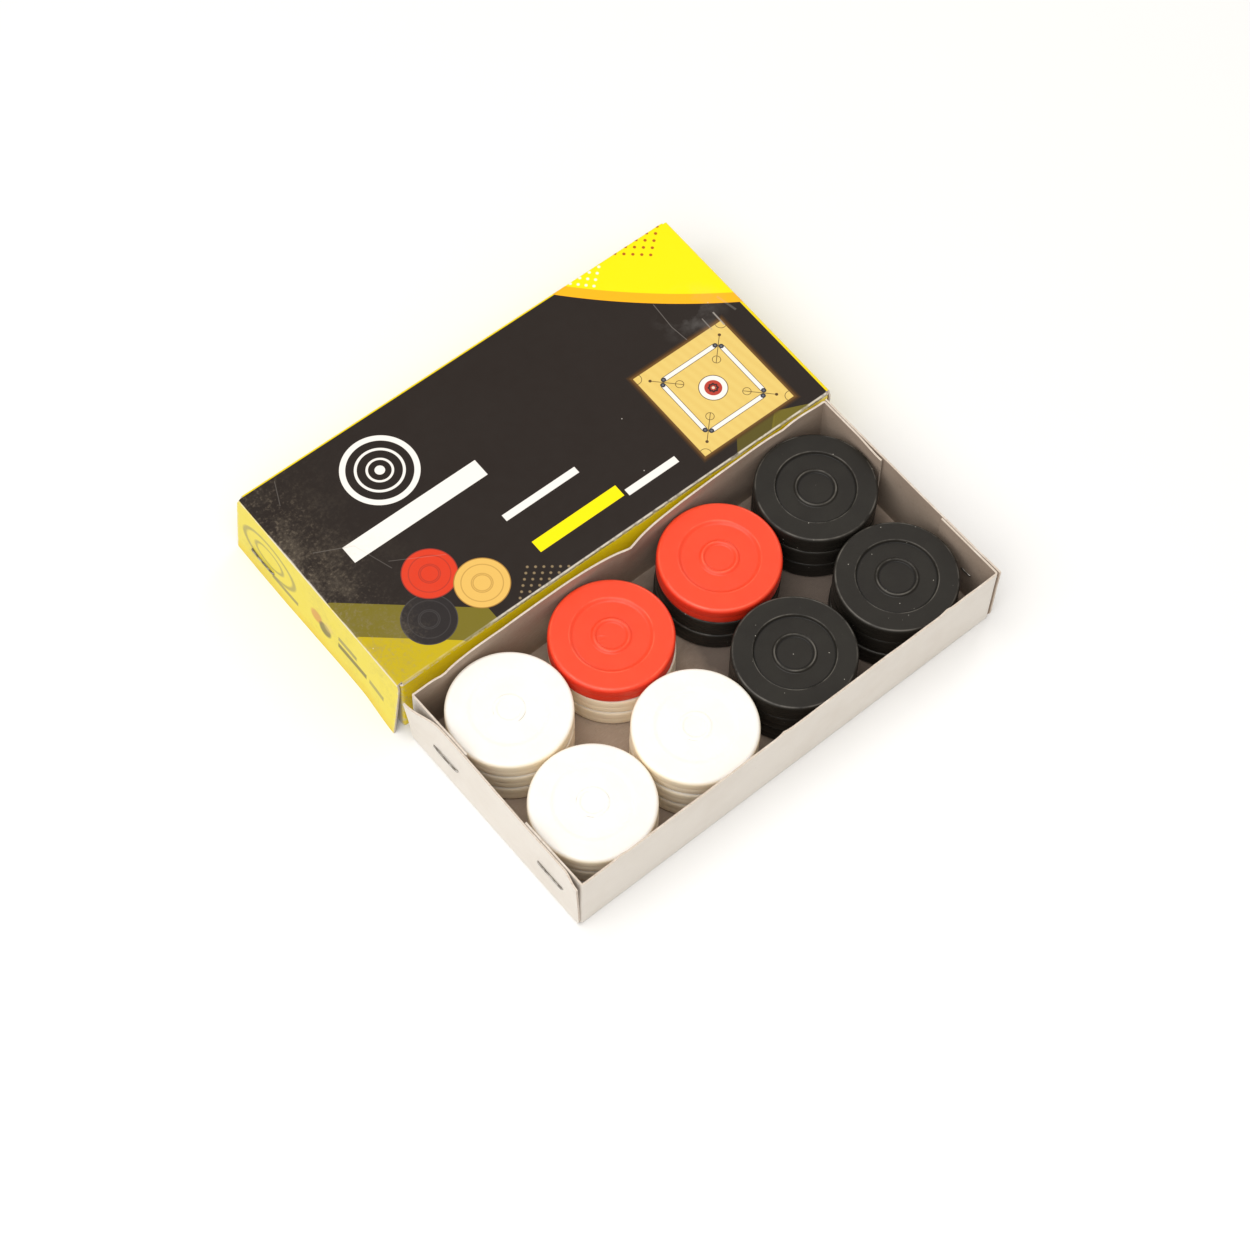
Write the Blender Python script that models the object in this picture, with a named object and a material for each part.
"""Carrom coin set: eight stacks of three coins in a folded card tray, with the lid beside it.

Frame: metres, +Z up. The origin is the centre of the tray's underside, +X runs along the
tray's long side, and +Y points from the tray to its lid.
"""

import math

import bmesh
import bpy
from mathutils import Vector

MM = 0.001

# Folded card, for the tray and the lid
CARD = 0.5 * MM
FOLD_RADIUS = 0.45 * MM
FOLD_STEPS = 3
LAYER_GAP = 0.15 * MM
FLAP_FLOOR_GAP = 0.25 * MM
FLAP_SHARE = 0.325
JOIN = 0.6 * MM

TRAY_LENGTH = 131.0 * MM
TRAY_WIDTH = 63.4 * MM
TRAY_HEIGHT = 22.2 * MM

LID_LENGTH = 134.0 * MM
LID_WIDTH = 65.6 * MM
LID_HEIGHT = 21.3 * MM
LID_CENTRE = Vector((1.9 * MM, 67.0 * MM, 0.0))
LID_TURN = math.radians(-1.0)

# Flat steel wire staples
WIRE_THICK = 0.4 * MM
WIRE_WIDE = 0.6 * MM
WIRE_BEND = 0.3 * MM
STAPLE_CROWN = 9.4 * MM
STAPLE_CLINCH = 3.1 * MM
STAPLE_SEAT = 0.05 * MM
STAPLE_HOLE_GAP = 0.12 * MM

# Each staple: name, the end it is through (-1 is left), where its crown is centred across the
# box's width, from the middle, and up its walls, both as a share of the whole.
TRAY_STAPLES = (
    ("left_near", -1, -0.335, 0.51),
    ("left_far", -1, 0.285, 0.47),
    ("right_near", 1, -0.31, 0.50),
    ("right_far", 1, 0.30, 0.49),
)
# The lid lies upside down, so its far side is at minus. Its left end's near corner has no staple.
LID_STAPLES = (
    ("left_far", -1, -0.335, 0.69),
    ("right_near", 1, 0.32, 0.70),
    ("right_far", 1, -0.31, 0.68),
)

# Coins
COIN_RADIUS = 15.4 * MM
COIN_THICK = 6.0 * MM
COIN_EDGE = 1.0 * MM
COIN_RIM_INNER = 10.1 * MM
COIN_FIELD_RADIUS = 9.7 * MM
COIN_FIELD_DEPTH = 0.5 * MM
COIN_SEGMENTS = 24
COIN_GAP = 0.15 * MM
FIRST_COIN_HEIGHT = CARD + 0.1 * MM
ROW_HALF_PITCH = 15.6 * MM
LEVELS = ("bottom", "middle", "top")

# Each stack: name, X in mm, row (+1 is the lid's side), the colours from the bottom up, and how
# far its lower two coins sit off the top one along X, in mm.
STACKS = (
    ("far_1", -48.2, 1, ("white", "white", "white"), (0.2, 0.15)),
    ("far_2", -16.9, 1, ("white", "white", "red"), (0.6, 0.45)),
    ("far_3", 17.1, 1, ("black", "black", "red"), (-0.3, 0.05)),
    ("far_4", 48.2, 1, ("black", "black", "black"), (0.1, 0.0)),
    ("near_1", -48.3, -1, ("white", "white", "white"), (0.1, 0.2)),
    ("near_2", -17.0, -1, ("white", "white", "white"), (0.1, 0.0)),
    ("near_3", 14.1, -1, ("black", "black", "black"), (0.3, 0.15)),
    ("near_4", 46.9, -1, ("black", "black", "black"), (-0.2, 0.2)),
)

# Material: colour, roughness, metallic
FINISHES = {
    "card_plain": ((0.80, 0.74, 0.68), 0.85, 0.0),
    "card_printed": ((0.88, 0.72, 0.05), 0.55, 0.0),
    "staple_steel": ((0.45, 0.44, 0.43), 0.35, 1.0),
    "plastic_white": ((0.86, 0.83, 0.77), 0.4, 0.0),
    "plastic_black": ((0.03, 0.03, 0.03), 0.45, 0.0),
    "plastic_red": ((0.85, 0.09, 0.03), 0.4, 0.0),
}


def clear_scene():
    for item in list(bpy.data.objects):
        bpy.data.objects.remove(item, do_unlink=True)


def make_materials():
    made = {}
    for name, (colour, roughness, metallic) in FINISHES.items():
        material = bpy.data.materials.new(name)
        material.use_nodes = True
        shader = material.node_tree.nodes["Principled BSDF"]
        shader.inputs["Base Color"].default_value = (*colour, 1.0)
        shader.inputs["Roughness"].default_value = roughness
        shader.inputs["Metallic"].default_value = metallic
        made[name] = material
    return made


def add_mesh(name, shape, material=None, parent=None):
    """Turn a bmesh into an object in the scene, and free the bmesh."""
    bmesh.ops.recalc_face_normals(shape, faces=shape.faces)
    mesh = bpy.data.meshes.new(name)
    shape.to_mesh(mesh)
    shape.free()
    item = bpy.data.objects.new(name, mesh)
    if material:
        mesh.materials.append(material)
    item.parent = parent
    bpy.context.collection.objects.link(item)
    return item


def box_shape(low, high):
    shape = bmesh.new()
    bmesh.ops.create_cube(shape, size=1.0)
    middle = (low + high) / 2
    size = high - low
    bmesh.ops.scale(shape, vec=size, verts=shape.verts)
    bmesh.ops.translate(shape, vec=middle, verts=shape.verts)
    return shape


def rounded_path(corners, radius):
    """A path through 2D corners, each inner corner rounded by an arc of the given radius."""
    path = [corners[0]]
    for before, corner, after in zip(corners, corners[1:], corners[2:]):
        way_in = (corner - before).normalized()
        way_out = (after - corner).normalized()
        start = corner - way_in * radius
        for step in range(FOLD_STEPS + 1):
            angle = math.pi / 2 * step / FOLD_STEPS
            path.append(start + way_in * radius * math.sin(angle) + way_out * radius * (1 - math.cos(angle)))
    path.append(corners[-1])
    return path


def strip_outline(corners, thickness, radius):
    """The closed outline of a strip folded at right angles along its centreline's corners."""
    path = rounded_path(corners, radius)
    left = []
    right = []
    for place, point in enumerate(path):
        before = path[max(place - 1, 0)]
        after = path[min(place + 1, len(path) - 1)]
        into = (point - before).normalized() if place else (after - point).normalized()
        out = (after - point).normalized() if place + 1 < len(path) else into
        normal = Vector((-(into + out).y, (into + out).x)).normalized()
        reach = thickness / 2 / max(normal.dot(Vector((-out.y, out.x))), 0.5)
        left.append(point + normal * reach)
        right.append(point - normal * reach)
    return left + right[::-1]


def prism(outline, across, low, high):
    """Extrude a closed outline along one axis. The outline's two values are the other two axes."""
    shape = bmesh.new()

    def place(point, depth):
        values = [point.x, point.y]
        values.insert("XYZ".index(across), depth)
        return shape.verts.new(values)

    face = shape.faces.new([place(point, low) for point in outline])
    grown = bmesh.ops.extrude_face_region(shape, geom=[face])
    moved = [part for part in grown["geom"] if isinstance(part, bmesh.types.BMVert)]
    step = Vector((0, 0, 0))
    step["XYZ".index(across)] = high - low
    bmesh.ops.translate(shape, vec=step, verts=moved)
    return shape


def helper_collection(name, shapes):
    """Put shapes that only shape another object in a collection of their own."""
    group = bpy.data.collections.new(name)
    bpy.context.scene.collection.children.link(group)
    helpers = []
    for count, shape in enumerate(shapes):
        helper = add_mesh(f"{name}_{count}", shape)
        bpy.context.collection.objects.unlink(helper)
        group.objects.link(helper)
        helper.hide_render = True
        helper.display_type = "WIRE"
        helpers.append(helper)
    return group, helpers


def staple_centre(size, end, across, level):
    """Where a staple's crown is centred on the outside of a box's end, open side up."""
    length, width, height = size
    return Vector((end * length / 2, across * width, level * height))


def folded_box(name, size, staples, material, parent=None):
    """A box folded from one card, open side up: the long walls' flaps tuck inside the ends."""
    length, width, height = size
    half_card = CARD / 2
    outer_fold = FOLD_RADIUS + half_card
    flap_x = length / 2 - CARD - LAYER_GAP - half_card
    wall_y = width / 2 - half_card
    flap_y = width / 2 - width * FLAP_SHARE

    floor = box_shape(
        Vector((outer_fold - length / 2, outer_fold - width / 2, 0)),
        Vector((length / 2 - outer_fold, width / 2 - outer_fold, CARD)),
    )
    card = add_mesh(name, floor, material, parent)

    folded = []
    for way in (-1, 1):
        end_x = way * (length / 2 - half_card)
        end_corners = [
            Vector((end_x, height)),
            Vector((end_x, half_card)),
            Vector((way * (length / 2 - outer_fold - JOIN), half_card)),
        ]
        folded.append(prism(strip_outline(end_corners, CARD, FOLD_RADIUS), "Y", -width / 2, width / 2))
        side_corners = [
            Vector((way * wall_y, height)),
            Vector((way * wall_y, half_card)),
            Vector((way * (width / 2 - outer_fold - JOIN), half_card)),
        ]
        wall_end = flap_x - outer_fold
        folded.append(prism(strip_outline(side_corners, CARD, FOLD_RADIUS), "X", -wall_end, wall_end))
        flap_corners = [
            Vector((-flap_x, way * flap_y)),
            Vector((-flap_x, way * wall_y)),
            Vector((flap_x, way * wall_y)),
            Vector((flap_x, way * flap_y)),
        ]
        flap_outline = strip_outline(flap_corners, CARD, FOLD_RADIUS)
        folded.append(prism(flap_outline, "Z", CARD + FLAP_FLOOR_GAP, height))

    holes = []
    for _, end, across, level in staples:
        centre = staple_centre(size, end, across, level)
        for leg in (-1, 1):
            leg_y = centre.y + leg * (STAPLE_CROWN - WIRE_THICK) / 2
            reach = Vector((
                3 * CARD + LAYER_GAP,
                WIRE_THICK / 2 + STAPLE_HOLE_GAP,
                WIRE_WIDE / 2 + STAPLE_HOLE_GAP,
            ))
            middle = Vector((centre.x, leg_y, centre.z))
            holes.append(box_shape(middle - reach, middle + reach))

    for kind, operation, shapes in (("fold", "UNION", folded), ("hole", "DIFFERENCE", holes)):
        group, helpers = helper_collection(f"{name}_{kind}", shapes)
        for helper in helpers:
            helper.parent = parent
        change = card.modifiers.new(kind, "BOOLEAN")
        change.operation = operation
        change.operand_type = "COLLECTION"
        change.collection = group
        change.solver = "EXACT"
    return card


def staple(name, size, end, across, level, material, parent=None):
    """A staple through both layers of a box's end, its legs clinched towards each other."""
    centre = staple_centre(size, end, across, level)
    crown_x = end * (size[0] / 2 + STAPLE_SEAT + WIRE_THICK / 2)
    inner_face = size[0] / 2 - 2 * CARD - LAYER_GAP
    clinch_x = end * (inner_face - STAPLE_SEAT - WIRE_THICK / 2)
    leg_y = (STAPLE_CROWN - WIRE_THICK) / 2
    corners = [
        Vector((clinch_x, centre.y - leg_y + STAPLE_CLINCH)),
        Vector((clinch_x, centre.y - leg_y)),
        Vector((crown_x, centre.y - leg_y)),
        Vector((crown_x, centre.y + leg_y)),
        Vector((clinch_x, centre.y + leg_y)),
        Vector((clinch_x, centre.y + leg_y - STAPLE_CLINCH)),
    ]
    outline = strip_outline(corners, WIRE_THICK, WIRE_BEND)
    wire = prism(outline, "Z", centre.z - WIRE_WIDE / 2, centre.z + WIRE_WIDE / 2)
    return add_mesh(name, wire, material, parent)


def coin_shape():
    """A turned coin standing on Z = 0, with a flat rim and a recessed field on both faces."""
    half = [
        (0.0, COIN_THICK - COIN_FIELD_DEPTH),
        (COIN_FIELD_RADIUS, COIN_THICK - COIN_FIELD_DEPTH),
        (COIN_RIM_INNER, COIN_THICK),
        (COIN_RADIUS - COIN_EDGE, COIN_THICK),
        (COIN_RADIUS, COIN_THICK - COIN_EDGE),
    ]
    profile = half + [(radius, COIN_THICK - height) for radius, height in reversed(half)]
    shape = bmesh.new()
    points = [shape.verts.new((radius, 0, height)) for radius, height in profile]
    edges = [shape.edges.new(pair) for pair in zip(points, points[1:])]
    bmesh.ops.spin(
        shape, geom=points + edges, cent=(0, 0, 0), axis=(0, 0, 1),
        angle=2 * math.pi, steps=COIN_SEGMENTS,
    )
    bmesh.ops.remove_doubles(shape, verts=shape.verts, dist=0.001 * MM)
    return shape


def coin_stack(stack, x_mm, row, colours, lean_mm, materials):
    for level, place, colour in zip(range(3), LEVELS, colours):
        coin = add_mesh(f"{colour}_coin_{stack}_{place}", coin_shape(), materials[f"plastic_{colour}"])
        coin.data.shade_smooth()
        coin.data.set_sharp_from_angle(angle=math.radians(25))
        lean = (*lean_mm, 0.0)[level]
        coin.location = (
            (x_mm + lean) * MM,
            row * ROW_HALF_PITCH,
            FIRST_COIN_HEIGHT + level * (COIN_THICK + COIN_GAP),
        )


def stapled_box(name, size, staples, material, steel, parent=None):
    folded_box(name, size, staples, material, parent)
    for label, end, across, level in staples:
        staple(f"{name}_staple_{label}", size, end, across, level, steel, parent)


def build():
    clear_scene()
    materials = make_materials()
    steel = materials["staple_steel"]

    tray_size = (TRAY_LENGTH, TRAY_WIDTH, TRAY_HEIGHT)
    stapled_box("tray", tray_size, TRAY_STAPLES, materials["card_plain"], steel)

    lid_place = bpy.data.objects.new("lid_place", None)
    bpy.context.collection.objects.link(lid_place)
    lid_place.location = LID_CENTRE + Vector((0, 0, LID_HEIGHT))
    lid_place.rotation_euler = (math.pi, 0, LID_TURN)
    lid_size = (LID_LENGTH, LID_WIDTH, LID_HEIGHT)
    stapled_box("lid", lid_size, LID_STAPLES, materials["card_printed"], steel, lid_place)

    for stack in STACKS:
        coin_stack(*stack, materials)


build()
